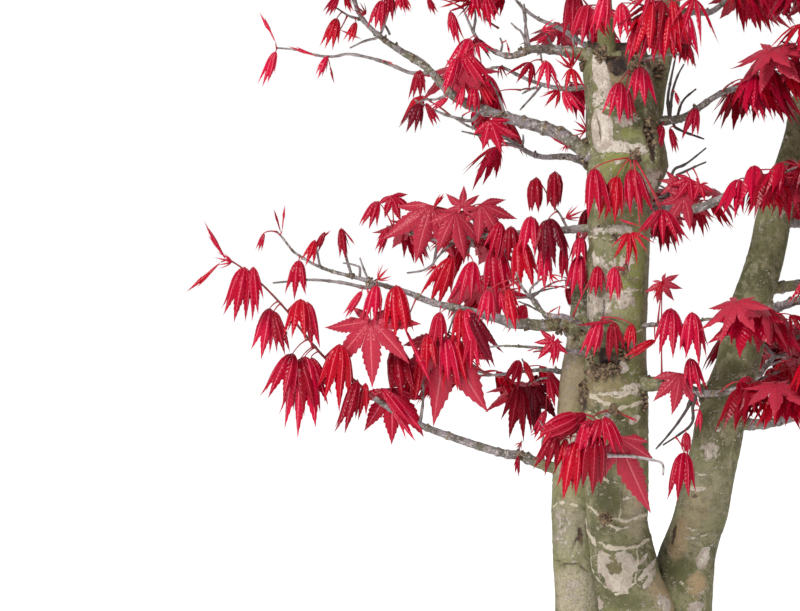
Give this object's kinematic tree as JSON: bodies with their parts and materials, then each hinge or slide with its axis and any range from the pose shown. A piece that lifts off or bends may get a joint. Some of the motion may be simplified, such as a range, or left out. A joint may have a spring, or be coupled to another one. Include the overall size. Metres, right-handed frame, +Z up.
{
  "type": "japanese maple tree",
  "caption": "Bonsai-size clump of leaning trunks with long level boughs and masses of hanging, half-open, hand-shaped red leaves, held by the flat cut at its foot.",
  "frame": {"origin": "on the ground, on the flat cut under the main trunk", "axes": "+Z up; the front faces -Y, and the longest boughs reach out along -X"},
  "size_m": [0.8289, 0.5417, 0.8743],
  "materials": {
    "trunk_bark": "olive green bark with pale corky patches, pale rings and dark knots",
    "bough_bark": "grey-brown young bark with ridges and bud knots",
    "foliage": "crimson young leaves on slim twigs"
  },
  "bodies": {
    "root": {"bough_back_left_top": "bough_bark", "bough_back_right_top": "bough_bark", "bough_leader_left": "bough_bark", "bough_leader_right": "bough_bark", "bough_lower_back": "bough_bark", "bough_lower_left": "bough_bark", "bough_lower_right": "bough_bark", "bough_middle_back": "bough_bark", "bough_middle_back_left": "bough_bark", "bough_middle_left": "bough_bark", "bough_middle_right": "bough_bark", "bough_right_back": "bough_bark", "bough_right_back_low": "bough_bark", "bough_right_front": "bough_bark", "bough_right_front_low": "bough_bark", "bough_right_low": "bough_bark", "bough_right_middle": "bough_bark", "bough_right_upper": "bough_bark", "bough_top_left": "bough_bark", "bough_upper_back": "bough_bark", "bough_upper_left": "bough_bark", "bough_upper_right": "bough_bark", "foliage_back_left_top": "foliage", "foliage_back_right_top": "foliage", "foliage_back_top": "foliage", "foliage_leader_left": "foliage", "foliage_leader_right": "foliage", "foliage_leader_top": "foliage", "foliage_lower_back": "foliage", "foliage_lower_back_left": "foliage", "foliage_lower_front": "foliage", "foliage_lower_front_left": "foliage", "foliage_lower_left": "foliage", "foliage_lower_right": "foliage", "foliage_middle_back": "foliage", "foliage_middle_back_left": "foliage", "foliage_middle_front": "foliage", "foliage_middle_left": "foliage", "foliage_middle_left_spur": "foliage", "foliage_middle_right": "foliage", "foliage_right_back": "foliage", "foliage_right_back_low": "foliage", "foliage_right_front": "foliage", "foliage_right_front_low": "foliage", "foliage_right_low": "foliage", "foliage_right_middle": "foliage", "foliage_right_top": "foliage", "foliage_right_twig": "foliage", "foliage_right_upper": "foliage", "foliage_top_front": "foliage", "foliage_top_left": "foliage", "foliage_upper_back": "foliage", "foliage_upper_back_left": "foliage", "foliage_upper_front": "foliage", "foliage_upper_left": "foliage", "foliage_upper_right": "foliage", "leader": "trunk_bark", "trunk_back": "trunk_bark", "trunk_main": "trunk_bark", "trunk_right": "trunk_bark"}
  },
  "joints": []
}
